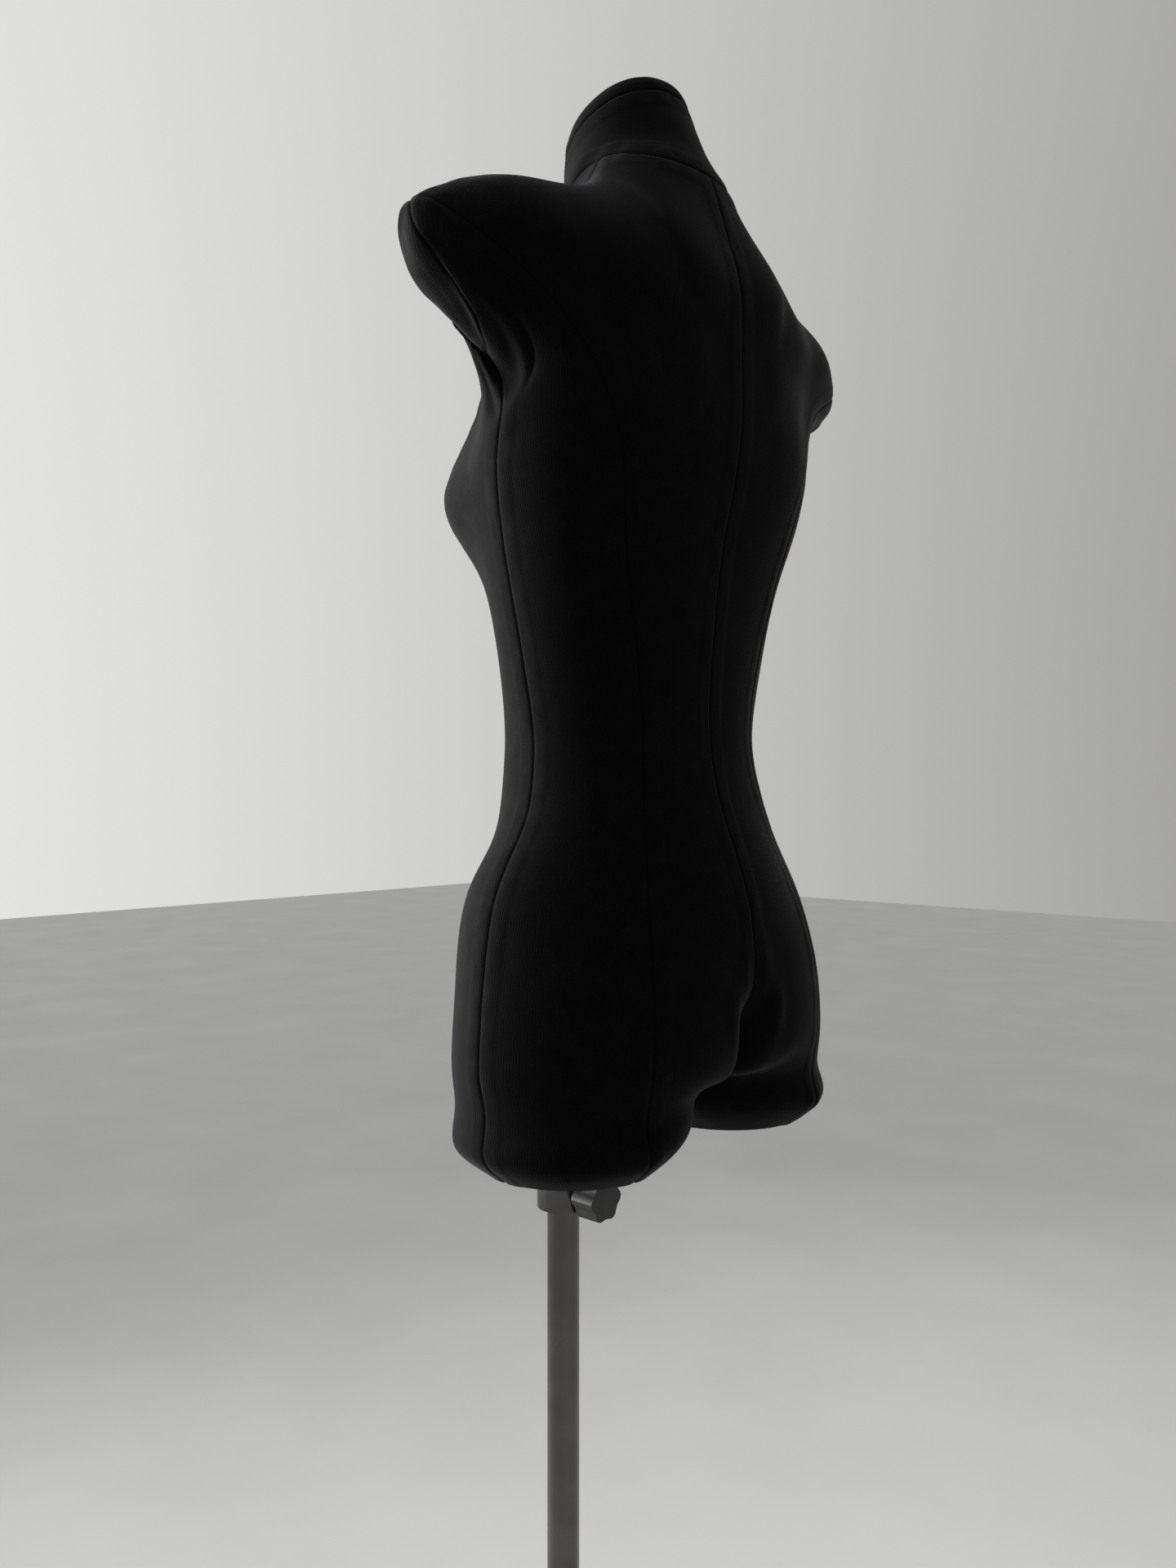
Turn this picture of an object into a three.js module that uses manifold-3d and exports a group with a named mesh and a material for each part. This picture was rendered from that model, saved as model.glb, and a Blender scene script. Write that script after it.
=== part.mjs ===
// A jersey-covered dress form on a height-adjustable pole.
//
// The form is a woman's torso, cut off at the neck, the shoulders and the top of the thighs. It is
// a hollow moulded shell in two halves, closed by boards and dressed in sewn jersey panels. A pole
// on a round base stands in a socket in the form's left thigh. Millimetres, +Z up; the origin is on
// the floor under the middle of the whole. The form faces -Y, so +X is its own left side.

import * as THREE from 'three';
import { mergeVertices } from 'three/addons/utils/BufferGeometryUtils.js';
import Module from 'manifold-3d';

const wasm = await Module();
wasm.setup();

// ---------- driving dimensions ----------

const CLEARANCE = 0.3;        // between pieces that touch
const RUNNING = 0.15;         // all round a tube that slides or turns in a bore

const COVER = 2.2;            // padded jersey
const COVER_GAP = 0.6;        // between the jersey and the shell or board behind it
const SHELL = 4;              // moulded shell wall
const BOARD = 12;             // neck and thigh boards
const PLATE = 4;              // plate in each armhole

const THIGH_HEIGHT = 740;     // floor to the underside of the thighs, at mid height setting
const POLE_AT = { x: 82, y: 0 };  // in the left thigh, from the form's centre line

// Trunk sections: half width, depth behind and in front of a centre that shifts along Y, and how
// square the section is (2 is an ellipse).
const TRUNK = [
  { z: -20, half: 140, back: 80, front: 85, shift: 5, square: 2 },
  { z: 60, half: 158, back: 90, front: 85, shift: 11, square: 2 },
  { z: 120, half: 155, back: 93, front: 88, shift: 10, square: 2 },
  { z: 180, half: 137, back: 88, front: 89, shift: 7, square: 2 },
  { z: 240, half: 113, back: 72, front: 83, shift: 1, square: 2.2 },
  { z: 296, half: 106, back: 67, front: 77, shift: -3, square: 2.3 },
  { z: 345, half: 115, back: 68, front: 76, shift: -2, square: 2.4 },
  { z: 400, half: 128, back: 71, front: 79, shift: 1, square: 2.5 },
  { z: 460, half: 145, back: 77, front: 79, shift: 8, square: 2.6 },
  { z: 520, half: 147, back: 78, front: 75, shift: 14, square: 2.6 },
  { z: 565, half: 137, back: 76, front: 67, shift: 15, square: 2.6 },
  { z: 600, half: 117, back: 72, front: 57, shift: 17, square: 2.6 },
  { z: 635, half: 85, back: 57, front: 50, shift: 17, square: 2.6 },
  { z: 665, half: 63, back: 49, front: 47, shift: 14, square: 2.6 },
  { z: 700, half: 48, back: 44, front: 44, shift: 6, square: 2.6 },
];
const TRUNK_TOP = 690;
const CROTCH = 62;            // underside of the trunk between the thighs

const NECK = { from: [0, 9, 640], to: [0, -16, 770], r: [66, 41], blend: 18 };
const SHOULDER = { from: [48, 21, 601], to: [201, 16, 582], r: [62, 37], blend: 24 };
const ARM_STUMP = { at: [150, 24, 572], r: [58, 40, 48], blend: 14 };
const BREAST = { at: [70, -60, 458], r: [54, 48, 56], blend: 22 };
const BUTTOCK = { at: [57, 34, 96], r: [71, 57, 77], blend: 30 };
const THIGH = { from: [78, -5, 150], to: [89, 16, -40], r: [69, 83], blend: 24 };
const THIGH_EDGE = 14;        // rounding where a thigh is cut off
// The gap between the thighs lies under this arch and narrows upwards into the cleft behind.
const THIGH_GAP = { y: 8, z: 120, r: [86, 66], closesAt: 115, spread: 0.09, blend: 5 };

// The domed end of a shoulder falls away from its crown as far in as its foot, and no lower than low.
const ARM_END = { x: 226, y: 9, z: 586, depth: 39, up: 72, down: 37, fall: 30, foot: 152, low: 520,
  blend: 9 };

const NECK_RING = { at: [0, -11, 729], tilt: 24.5 };  // seam under the neck cap, higher at the back
const CAP_HEIGHT = 13;
const CAP_EDGE = 5;           // rounding of the neck cap's rim
const HEM = { x: 88, y: 12, r: 60 };  // cover's hem on the underside of the thigh

const SEAM_STEPS = 2;         // rows between two levels of a seam
const BAND_COLUMNS = 4;       // quarter of the neck, or one shoulder
const SIDE_COLUMNS = 4;       // half of an armhole

// Stand.
const BASE = { radius: 170, thick: 8, edge: 3 };
const FOOT = { radius: 12, thick: 4, ring: 140, count: 4 };
const BOSS = { radius: 26, height: 14, spigot: 25, chamfer: 2 };
const BASE_SCREW = { radius: 5, head: 10, headHeight: 5, length: 36 };
const LOWER_TUBE = { radius: 12.7, wall: 1.2, length: 390 };
const UPPER_TUBE = { radius: 11, wall: 1.2, overlap: 250 };
const PLUG = { lip: 4, depth: 20 };  // nylon plug in either end of the upper tube
const COLLAR = { radius: 19, head: 16, seat: 26 };
const SOCKET = { radius: 14, depth: 110, end: 3, nut: 18, nutHeight: 24, drop: 34 };
const FLANGE = { radius: 42, thick: 3, screws: 4, ring: 31 };
const WOOD_SCREW = { radius: 2, head: 4, headHeight: 2.4, length: 11 };
const CLAMP = { radius: 4, pad: 2.5, gap: 3, grip: 12, knob: 15, knobLength: 18, lobes: 6 };

// ---------- small geometry helpers ----------

const around = (count) => Array.from({ length: count }, (_, i) => (i / count) * 2 * Math.PI);

function toManifold(geometry) {
  const bare = geometry.clone();
  bare.deleteAttribute('normal');
  bare.deleteAttribute('uv');
  const merged = mergeVertices(bare, 1e-4);
  const mesh = new wasm.Mesh({
    numProp: 3,
    vertProperties: new Float32Array(merged.attributes.position.array),
    triVerts: new Uint32Array(merged.index.array),
  });
  return new wasm.Manifold(mesh);
}

function fromManifold(solid) {
  const mesh = solid.getMesh();
  const geometry = new THREE.BufferGeometry();
  geometry.setAttribute('position', new THREE.BufferAttribute(mesh.vertProperties, 3));
  geometry.setIndex(new THREE.BufferAttribute(mesh.triVerts, 1));
  return geometry;
}

// Crumbs that a cut leaves loose are dropped.
function cut(body, ...tools) {
  const left = tools.reduce((rest, tool) => rest.subtract(toManifold(tool)), toManifold(body));
  return fromManifold(left.decompose().reduce((a, b) => (b.volume() > a.volume() ? b : a)));
}

// A turned piece about Z from a closed profile of [radius, z] points, counter-clockwise.
function turned(profile, segments = 32) {
  const points = profile.map(([r, z]) => new THREE.Vector2(r, z));
  const closed = profile[0][0] === 0 ? points : [...points, points[0].clone()];
  return new THREE.LatheGeometry(closed, segments).rotateX(Math.PI / 2);
}

const rod = (radius, low, high, segments = 32) =>
  new THREE.CylinderGeometry(radius, radius, high - low, segments)
    .rotateX(Math.PI / 2).translate(0, 0, (low + high) / 2);

const tube = (outer, inner, low, high, segments = 32) =>
  turned([[inner, low], [outer, low], [outer, high], [inner, high]], segments);

// ---------- the form's surface ----------
// A field that is negative inside the form and grows roughly as distance outside it.

// Natural cubic spline through a section value of the trunk.
function sectionCurve(key) {
  const n = TRUNK.length;
  const z = TRUNK.map((section) => section.z);
  const v = TRUNK.map((section) => section[key]);
  const bend = new Array(n).fill(0);
  const upper = new Array(n).fill(0);
  const right = new Array(n).fill(0);
  for (let i = 1; i < n - 1; i++) {
    const before = z[i] - z[i - 1];
    const after = z[i + 1] - z[i];
    const slope = 6 * ((v[i + 1] - v[i]) / after - (v[i] - v[i - 1]) / before);
    const pivot = 2 * (before + after) - before * upper[i - 1];
    upper[i] = after / pivot;
    right[i] = (slope - before * right[i - 1]) / pivot;
  }
  for (let i = n - 2; i > 0; i--) bend[i] = right[i] - upper[i] * bend[i + 1];
  return (height) => {
    const at = Math.min(Math.max(height, z[0]), z[n - 1]);
    let i = 0;
    while (i < n - 2 && at > z[i + 1]) i++;
    const span = z[i + 1] - z[i];
    const t = (at - z[i]) / span;
    const s = 1 - t;
    return s * v[i] + t * v[i + 1]
      + (span * span / 6) * ((s * s * s - s) * bend[i] + (t * t * t - t) * bend[i + 1]);
  };
}

const half = sectionCurve('half');
const back = sectionCurve('back');
const front = sectionCurve('front');
const shift = sectionCurve('shift');
const square = sectionCurve('square');

function blend(a, b, reach) {
  const h = Math.min(Math.max(0.5 + (0.5 * (b - a)) / reach, 0), 1);
  return b * (1 - h) + a * h - reach * h * (1 - h);
}
const carve = (a, b, reach) => -blend(-a, -b, reach);

function ellipsoid([x, y, z], { at, r }) {
  const [u, v, w] = [x - at[0], y - at[1], z - at[2]];
  const near = Math.hypot(u / r[0], v / r[1], w / r[2]);
  const far = Math.hypot(u / r[0] ** 2, v / r[1] ** 2, w / r[2] ** 2);
  return (near * (near - 1)) / (far + 1e-9);
}

function taper([x, y, z], { from, to, r }) {
  const axis = to.map((end, i) => end - from[i]);
  const offset = [x - from[0], y - from[1], z - from[2]];
  const length = axis.reduce((sum, part) => sum + part * part, 0);
  const along = axis.reduce((sum, part, i) => sum + part * offset[i], 0) / length;
  const t = Math.min(Math.max(along, 0), 1);
  const away = Math.hypot(...offset.map((part, i) => part - t * axis[i]));
  return away - (r[0] + (r[1] - r[0]) * t);
}

function trunk([x, y, z]) {
  const across = half(z);
  const depth = y > shift(z) ? back(z) : front(z);
  const power = square(z);
  const ring = ((x / across) ** power + (Math.abs(y - shift(z)) / depth) ** power) ** (1 / power);
  const side = (ring - 1) * Math.min(across, depth);
  return carve(Math.max(side, z - TRUNK_TOP), CROTCH - z, THIGH_EDGE);
}

function thighGap([x, y, z]) {
  const { r, closesAt, spread } = THIGH_GAP;
  const arch = Math.hypot((y - THIGH_GAP.y) / r[0], (z - THIGH_GAP.z) / r[1]);
  return carve(x - spread * (closesAt - z), (1 - arch) * r[1], THIGH_GAP.blend);
}

function armEnd([x, y, z]) {
  const across = (y - ARM_END.y) / ARM_END.depth;
  const along = (z - ARM_END.z) / (z > ARM_END.z ? ARM_END.up : ARM_END.down);
  const foot = ARM_END.foot + Math.max(ARM_END.low - z, 0);
  return x - Math.max(ARM_END.x - ARM_END.fall * (across ** 2 + along ** 2), foot);
}

function form([x, y, z]) {
  const p = [Math.abs(x), y, z];
  let field = trunk(p);
  field = blend(field, taper(p, NECK), NECK.blend);
  field = blend(field, taper(p, SHOULDER), SHOULDER.blend);
  field = blend(field, ellipsoid(p, ARM_STUMP), ARM_STUMP.blend);
  field = blend(field, ellipsoid(p, BREAST), BREAST.blend);
  field = blend(field, ellipsoid(p, BUTTOCK), BUTTOCK.blend);
  field = blend(field, taper(p, THIGH), THIGH.blend);
  field = carve(field, armEnd(p), ARM_END.blend);
  field = carve(field, -thighGap(p), THIGH_GAP.blend);
  return carve(field, -z, THIGH_EDGE);
}

function gradient(field, p) {
  const step = 0.05;
  return [0, 1, 2].map((axis) => {
    const plus = [...p];
    const minus = [...p];
    plus[axis] += step;
    minus[axis] -= step;
    return (field(plus) - field(minus)) / (2 * step);
  });
}

const add = (a, b, scale = 1) => a.map((part, i) => part + scale * b[i]);
const lerp = (a, b, t) => a.map((part, i) => part + t * (b[i] - part));
const dot = (a, b) => a.reduce((sum, part, i) => sum + part * b[i], 0);
const cross = (a, b) => [
  a[1] * b[2] - a[2] * b[1], a[2] * b[0] - a[0] * b[2], a[0] * b[1] - a[1] * b[0]];
const unit = (a) => a.map((part) => part / (Math.hypot(...a) || 1));
const normalAt = (field, p) => unit(gradient(field, p));

// The nearest point, more or less, where the field is zero.
function onto(p, field) {
  let at = p;
  for (let step = 0; step < 25; step++) {
    const slope = gradient(field, at);
    at = add(at, slope, -field(at) / Math.max(dot(slope, slope), 0.05));
  }
  return at;
}

// ---------- seams ----------
// Each seam is drawn as points at the same eleven levels, from its top down to the hem, and is then
// laid onto the form. They are the left side's; the right side mirrors them.

const tip = onto([225, 9, 601], form);
const armpit = onto([153, 0, 530], form);
const nape = onto([0, 52, 677], form);
const neckSide = onto([62, 12, 690], form);
const neckFront = onto([0, -50, 648], form);
const crotch = onto([0, 9, 54], form);

const hem = (degrees) => {
  const angle = THREE.MathUtils.degToRad(degrees);
  return [HEM.x + HEM.r * Math.cos(angle), HEM.y + HEM.r * Math.sin(angle), 0];
};
const HEM_AT = { inseam: 180, backPrincess: 85, side: 0, frontPrincess: -88, inseamAgain: -180 };

const SEAMS = {
  centreBack: [nape, [0, 84, 590], [0, 96, 500], [0, 76, 405], [0, 64, 300], [0, 74, 236],
    [0, 96, 175], [0, 95, 118], [0, 74, 76], crotch],
  backPrincess: [tip, [196, 46, 576], [124, 84, 500], [94, 80, 405], [66, 62, 300], [76, 76, 236],
    [92, 92, 175], [98, 96, 115], [98, 92, 70], [98, 88, 34], hem(HEM_AT.backPrincess)],
  side: [armpit, [147, 8, 496], [145, 0, 462], [128, -8, 405], [107, -6, 300], [120, -2, 236],
    [142, 0, 175], [158, 4, 115], [164, 6, 70], [167, 8, 34], hem(HEM_AT.side)],
  frontPrincess: [tip, [178, -26, 578], [112, -78, 500], [80, -88, 405], [62, -74, 300],
    [72, -80, 236], [84, -84, 175], [90, -84, 115], [92, -78, 70], [92, -68, 34],
    hem(HEM_AT.frontPrincess)],
  centreFront: [neckFront, [0, -62, 585], [0, -68, 500], [0, -78, 405], [0, -78, 300], [0, -82, 236],
    [0, -84, 175], [0, -78, 118], [0, -58, 76], crotch],
  inseam: [crotch, hem(HEM_AT.inseam)],
};

// Points evenly spaced in the curve's own parameter, laid onto the field.
function lay(points, steps, field = form) {
  const curve = new THREE.CatmullRomCurve3(points.map((p) => new THREE.Vector3(...p)));
  return Array.from({ length: steps + 1 }, (_, i) =>
    onto(curve.getPoint(i / steps).toArray(), field));
}

const seam = Object.fromEntries(Object.entries(SEAMS).map(([name, points]) =>
  [name, lay(points, (points.length - 1) * SEAM_STEPS)]));

// The centre seams meet at the crotch and go on down the inside of the thigh as one seam.
const centreBack = [...seam.centreBack, ...seam.inseam.slice(1)];
const centreFront = [...seam.centreFront, ...seam.inseam.slice(1)];

const shoulderSeam = lay([neckSide, [108, 16, 666], [165, 16, 640], tip], BAND_COLUMNS);
const neckBack = lay([nape, [31, 58, 683], [50, 41, 687], neckSide], BAND_COLUMNS);
const neckFrontSeam = lay([neckFront, [32, -46, 656], [53, -22, 674], neckSide], BAND_COLUMNS);
const armholeBack = lay([tip, [224, 16, 579], [208, 22, 560], [184, 17, 543], armpit],
  SIDE_COLUMNS);
const armholeFront = lay([tip, [221, -10, 590], [205, -19, 570], [176, -14, 546], armpit],
  SIDE_COLUMNS);

const hemArc = (from, to, steps) =>
  Array.from({ length: steps + 1 }, (_, i) => hem(from + ((to - from) * i) / steps));
const hemArcs = {
  back: hemArc(HEM_AT.inseam, HEM_AT.backPrincess, 2 * BAND_COLUMNS),
  sideBack: hemArc(HEM_AT.backPrincess, HEM_AT.side, SIDE_COLUMNS),
  sideFront: hemArc(HEM_AT.side, HEM_AT.frontPrincess, SIDE_COLUMNS),
  front: hemArc(HEM_AT.frontPrincess, HEM_AT.inseamAgain, 2 * BAND_COLUMNS),
};

// ---------- patches of the surface ----------

// A grid of points between four edges: left and right run down, top and bottom run rightwards. The
// shape of the top and bottom edges fades out within a few rows.
function patch(left, right, top, bottom, field) {
  const rows = left.length - 1;
  const columns = top.length - 1;
  const fade = (v) => (1 - v) ** 5;
  const grid = left.map((_, i) => top.map((__, j) => {
    const [v, u] = [i / rows, j / columns];
    if (i === 0) return top[j];
    if (i === rows) return bottom[j];
    if (j === 0) return left[i];
    if (j === columns) return right[i];
    const topBow = add(top[j], lerp(top[0], top[columns], u), -1);
    const bottomBow = add(bottom[j], lerp(bottom[0], bottom[columns], u), -1);
    const across = lerp(left[i], right[i], u);
    return onto(add(add(across, topBow, fade(v)), bottomBow, fade(1 - v)), field);
  }));
  return { grid, field };
}

const mirrored = ({ grid, field }) =>
  ({ grid: grid.map((row) => row.map(([x, y, z]) => [-x, y, z])), field, right: true });
const bothSides = (patches) => [...patches, ...patches.map(mirrored)];

const tilt = THREE.MathUtils.degToRad(NECK_RING.tilt);
const ringUp = [0, -Math.sin(tilt), Math.cos(tilt)];
const aboveRing = (p) => dot(add(p, NECK_RING.at, -1), ringUp);

function ringPoint(degrees, height = 0, depth = 0) {
  const angle = THREE.MathUtils.degToRad(degrees);
  const start = add(NECK_RING.at, [46 * Math.cos(angle), 46 * Math.sin(angle), 0]);
  const onRing = (p) => add(p, ringUp, height - aboveRing(p));
  let at = onRing(start);
  for (let step = 0; step < 12; step++) at = onRing(onto(at, (p) => form(p) + depth));
  return at;
}

const near = (value) => Math.abs(value) < 0.1;

// Which way an edge's wall goes in from the surface, per millimetre of depth: square to it, but in
// the plane of the neck ring.
function wallDirection(p, field) {
  const normal = normalAt(field, p);
  if (!near(aboveRing(p))) return normal;
  const lean = dot(normal, ringUp);
  return add(normal, ringUp, -lean).map((part) => part / (1 - lean * lean));
}

// One closed solid of cover, shell or board: the patches joined edge to edge and given thickness,
// from the outer to the inner depth below the surface. Free edges draw back by half a clearance.
// Patches of the two sides stay apart where apart(point) holds.
function sheet(patches, outer, inner, apart = () => false) {
  const keys = new Map();
  const points = [];
  const vertex = (p, { field, right }) => {
    const side = apart(p) && right ? 'r' : '';
    const key = p.map((part) => Math.round(part * 1000)).join() + side;
    if (!keys.has(key)) {
      keys.set(key, points.length);
      points.push({ at: p, wall: wallDirection(p, field), draw: [0, 0, 0] });
    }
    return keys.get(key);
  };
  const quads = patches.flatMap((piece) => {
    const { grid, field } = piece;
    const turns = grid.slice(1).flatMap((row, a) => row.slice(1).map((_, b) => dot(
      cross(add(grid[a + 1][b], grid[a][b], -1), add(grid[a][b + 1], grid[a][b], -1)),
      normalAt(field, grid[a][b]))));
    const outward = turns.reduce((sum, turn) => sum + turn, 0) > 0;
    return grid.slice(1).flatMap((row, a) => row.slice(1).map((_, b) => {
      const quad = [grid[a][b], grid[a + 1][b], grid[a + 1][b + 1], grid[a][b + 1]]
        .map((p) => vertex(p, piece));
      return outward ? quad : [quad[0], quad[3], quad[2], quad[1]];
    }));
  });

  const edges = new Map();
  for (const quad of quads) {
    quad.forEach((a, i) => edges.set(`${a},${quad[(i + 1) % 4]}`, [a, quad[(i + 1) % 4]]));
  }
  const free = [...edges.values()].filter(([a, b]) => !edges.has(`${b},${a}`));
  for (const [a, b] of free) {
    const along = add(points[b].at, points[a].at, -1);
    for (const end of [a, b]) {
      points[end].draw = add(points[end].draw, unit(cross(points[end].wall, along)));
    }
  }
  const drawn = points.map(({ at, draw }) => {
    const spread = Math.max(Math.hypot(...draw) / 2, 0.5);
    return add(at, unit(draw), CLEARANCE / 2 / spread);
  });

  const count = points.length;
  const positions = [outer, inner].flatMap((depth) =>
    drawn.flatMap((p, i) => add(p, points[i].wall, -depth)));
  const faces = quads.flatMap(([a, b, c, d]) => [a, b, c, a, c, d]);
  const backs = quads.flatMap(([a, b, c, d]) => [a, c, b, a, d, c].map((i) => i + count));
  // A wall quad is split from its upper outer corner, so that two facing walls match.
  const walls = free.flatMap(([a, b]) => (points[a].at[2] > points[b].at[2]
    ? [b, a, b + count, a, a + count, b + count]
    : [b, a, a + count, b, a + count, b + count]));
  const geometry = new THREE.BufferGeometry();
  geometry.setAttribute('position', new THREE.Float32BufferAttribute(positions, 3));
  geometry.setIndex([...faces, ...backs, ...walls]);
  return geometry;
}

// A solid through loops of equal length, lowest first and anticlockwise from above.
function loft(...loops) {
  const count = loops[0].length;
  const middle = (loop) => loop.reduce((sum, p) => add(sum, p, 1 / count), [0, 0, 0]);
  const positions = [...loops.flat(), middle(loops[0]), middle(loops.at(-1))];
  const [under, over] = [positions.length - 2, positions.length - 1];
  const last = (loops.length - 1) * count;
  const faces = [];
  for (let i = 0; i < count; i++) {
    const next = (i + 1) % count;
    faces.push(under, next, i, over, last + i, last + next);
    for (let row = 0; row < last; row += count) {
      faces.push(row + i, row + next, row + count + next, row + i, row + count + next, row + count + i);
    }
  }
  const geometry = new THREE.BufferGeometry();
  geometry.setAttribute('position', new THREE.Float32BufferAttribute(positions.flat(), 3));
  geometry.setIndex(faces);
  return geometry;
}

const panels = {
  back: patch(centreBack, seam.backPrincess,
    [...neckBack, ...shoulderSeam.slice(1)], hemArcs.back, form),
  side_back: patch(seam.backPrincess, seam.side, armholeBack, hemArcs.sideBack, form),
  side_front: patch(seam.side, seam.frontPrincess,
    [...armholeFront].reverse(), hemArcs.sideFront, form),
  front: patch(seam.frontPrincess, centreFront,
    [...[...shoulderSeam].reverse(), ...[...neckFrontSeam].reverse().slice(1)], hemArcs.front, form),
};

const ringArc = (from, to, height, depth) => Array.from({ length: BAND_COLUMNS + 1 }, (_, i) =>
  ringPoint(from + ((to - from) * i) / BAND_COLUMNS, height, depth));
const NECK_ROWS = 3;
const neckSideEdge = lay([ringPoint(0), neckSide], NECK_ROWS);
const neckPatches = {
  back: patch(lay([ringPoint(90), nape], NECK_ROWS), neckSideEdge,
    ringArc(90, 0), neckBack, form),
  front: patch(lay([ringPoint(-90), neckFront], NECK_ROWS), neckSideEdge,
    ringArc(-90, 0), neckFrontSeam, form),
};

// The neck cap: a band above the ring, a rounded rim and a flat top.
const capTop = (p) => carve(form(p), aboveRing(p) - CAP_HEIGHT, CAP_EDGE);
const rimStations = [[0, 0], [CAP_HEIGHT / 2, 0], [CAP_HEIGHT - 1, 1], [CAP_HEIGHT, CAP_EDGE]];
const rimPoint = (degrees, [height, depth]) =>
  (height ? onto(ringPoint(degrees, height, depth), capTop) : ringPoint(degrees));
const quarter = (from, to) => Array.from({ length: BAND_COLUMNS + 1 }, (_, i) =>
  from + ((to - from) * i) / BAND_COLUMNS);
const bandPatch = (from, to) => ({
  grid: rimStations.map((station) => quarter(from, to).map((degrees) => rimPoint(degrees, station))),
  field: capTop,
});
const rimEdge = (from, to) => quarter(from, to).map((degrees) => rimPoint(degrees, rimStations.at(-1)));
const capPatches = [
  ...[0, 90, 180, 270].map((from) => bandPatch(from, from + 90)),
  patch(rimEdge(180, 270), rimEdge(90, 0), rimEdge(180, 90), rimEdge(270, 360), capTop),
];

// The armhole's loop, cut into four edges around the arm cap.
const armholeLoop = [...armholeBack, ...[...armholeFront].reverse().slice(1, -1)];
const loopEdge = (from, to) => {
  const step = Math.sign(to - from);
  return Array.from({ length: Math.abs(to - from) + 1 }, (_, i) =>
    armholeLoop[(from + i * step + armholeLoop.length) % armholeLoop.length]);
};
const capSide = SIDE_COLUMNS - 2;
const armPatch = patch(loopEdge(1, 1 + capSide), loopEdge(-1, -1 - capSide),
  loopEdge(1, -1), loopEdge(1 + capSide, 3 + capSide), form);

// ---------- materials ----------

const finish = (color, roughness, metalness = 0) =>
  new THREE.MeshStandardMaterial({ color, roughness, metalness });
const JERSEY = finish(0x1b1b1d, 0.95);
const MOULDED = finish(0xb9a88c, 0.85);
const PLYWOOD = finish(0xc2a06e, 0.75);
const STAINLESS = finish(0xc8cacc, 0.22, 1);
const ZINC = finish(0x9ea2a6, 0.4, 1);
const NYLON = finish(0xe6e4dc, 0.5);
const KNOB = finish(0x151515, 0.45);
const RUBBER = finish(0x111111, 0.9);

const node = (name, geometry, material) => {
  const mesh = new THREE.Mesh(geometry, material);
  mesh.name = name;
  return mesh;
};

const shellDepth = COVER + COVER_GAP;
const insideDepth = shellDepth + SHELL;
const SIDES = [['left', (piece) => piece], ['right', mirrored]];

// ---------- the form ----------

const dressForm = new THREE.Group();
dressForm.position.set(-POLE_AT.x, -POLE_AT.y, THIGH_HEIGHT);

// In the sharpest folds the shell is pared back to clear the covers.
function makeShells() {
  const halves = {
    back: [panels.back, panels.side_back, neckPatches.back],
    front: [panels.front, panels.side_front, neckPatches.front],
  };
  for (const [name, patches] of Object.entries(halves)) {
    const whole = sheet(bothSides(patches), shellDepth, insideDepth);
    const covers = bothSides(Object.values(panels))
      .map((panel) => sheet([panel], 0, COVER + CLEARANCE));
    dressForm.add(node(`torso_shell_${name}`, cut(whole, ...covers), MOULDED));
  }
}

function makeTorsoCovers() {
  for (const [name, panel] of Object.entries(panels)) {
    for (const [side, place] of SIDES) {
      dressForm.add(node(`${name}_cover_${side}`, sheet([place(panel)], 0, COVER), JERSEY));
    }
  }
}

function makeNeck() {
  const sleeve = bothSides([neckPatches.back, neckPatches.front]);
  const atBackSeam = ([x, y]) => near(x) && y > 0;
  dressForm.add(node('neck_cover', sheet(sleeve, 0, COVER, atBackSeam), JERSEY));
  dressForm.add(node('neck_cap_cover', sheet(capPatches, 0, COVER), JERSEY));

  // The board follows the cap from below and rests on the shell's rim.
  const angles = [0, 90, 180, 270].flatMap((from) => quarter(from, from + 90).slice(0, -1));
  const loops = rimStations.map((station, row) => angles.map((degrees) => {
    const p = rimPoint(degrees, station);
    const inside = add(p, wallDirection(p, capTop), -shellDepth);
    return row ? inside : add(inside, ringUp, CLEARANCE);
  }));
  dressForm.add(node('neck_cap_board', loft(...loops), PLYWOOD));
}

function makeArmCaps() {
  for (const [side, place] of SIDES) {
    const cover = sheet([place(armPatch)], 0, COVER);
    const board = sheet([place(armPatch)], shellDepth, shellDepth + PLATE);
    dressForm.add(node(`arm_cap_cover_${side}`, cover, JERSEY));
    dressForm.add(node(`arm_cap_board_${side}`, board, PLYWOOD));
  }
}

const flangeHoles = around(FLANGE.screws).map((angle) =>
  [FLANGE.ring * Math.cos(angle + Math.PI / 4), FLANGE.ring * Math.sin(angle + Math.PI / 4)]);
const screwHoles = (low, high) => flangeHoles.map(([x, y]) =>
  rod(WOOD_SCREW.radius + CLEARANCE, low, high, 12).translate(x, y, 0));
const atPole = (geometry) => geometry.translate(POLE_AT.x, POLE_AT.y, 0);

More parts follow.
